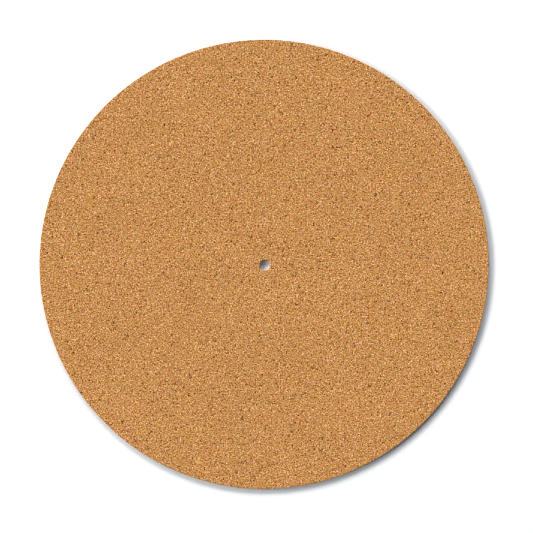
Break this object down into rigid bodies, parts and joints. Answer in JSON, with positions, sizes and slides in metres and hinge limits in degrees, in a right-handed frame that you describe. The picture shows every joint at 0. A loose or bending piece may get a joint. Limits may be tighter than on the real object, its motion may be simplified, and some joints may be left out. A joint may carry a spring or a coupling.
{
  "type": "turntable platter mat",
  "caption": "Flat round cork mat that lies on a record turntable's platter, with a hole at its centre for the spindle.",
  "frame": {"origin": "on the axis of the spindle hole, at the face that rests on the platter", "axes": "+Z along the hole's axis, from the face that rests on the platter to the face that takes the record; X and Y are any two directions in the sheet"},
  "size_m": [0.3, 0.3, 0.003],
  "materials": {
    "cork": "matte"
  },
  "bodies": {
    "root": {"cork_mat": "cork"}
  },
  "joints": []
}
